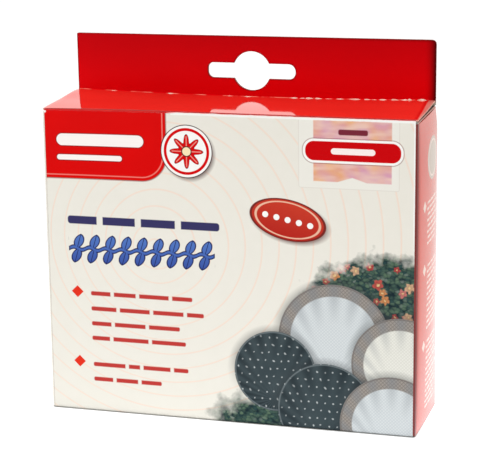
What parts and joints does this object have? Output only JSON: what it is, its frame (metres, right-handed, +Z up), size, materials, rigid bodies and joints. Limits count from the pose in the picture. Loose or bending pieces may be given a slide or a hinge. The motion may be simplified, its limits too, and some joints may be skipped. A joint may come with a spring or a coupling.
{
  "type": "hanging retail carton",
  "caption": "Printed folding carton with a flat header, a hanging slot, a hinged lid and folding dust flaps, standing upright.",
  "frame": {"origin": "middle of the bottom face", "axes": "+X to the right of the front panel, -Y out of the front panel, +Z up to the header"},
  "size_m": [0.132, 0.036, 0.1319],
  "materials": {
    "printed_board": "gloss varnish over print",
    "header_red": "gloss varnish over print",
    "lid_red": "gloss varnish over print",
    "uncoated_board": "matte"
  },
  "bodies": {
    "carton": {"carton_body": "printed_board", "header_front_ply": "header_red"},
    "lid": {"lid_panel": "lid_red"},
    "left_flap": {"dust_flap_left": "uncoated_board"},
    "right_flap": {"dust_flap_right": "uncoated_board"}
  },
  "joints": [
    {"name": "lid_hinge", "type": "hinge", "parent": "carton", "child": "lid", "pos_m": [0, -0.018, 0.1097], "axis": [1, 0, 0], "range_deg": [0, 180]},
    {"name": "left_flap_hinge", "type": "hinge", "parent": "carton", "child": "left_flap", "pos_m": [-0.0652, 0, 0.1094], "axis": [0, -1, 0], "range_deg": [0, 100]},
    {"name": "right_flap_hinge", "type": "hinge", "parent": "carton", "child": "right_flap", "pos_m": [0.0652, 0, 0.1094], "axis": [0, 1, 0], "range_deg": [0, 100]}
  ],
  "couplings": [
    {"joint": "left_flap_hinge", "follows": "lid_hinge", "ratio": 0.55},
    {"joint": "right_flap_hinge", "follows": "lid_hinge", "ratio": 0.55}
  ]
}
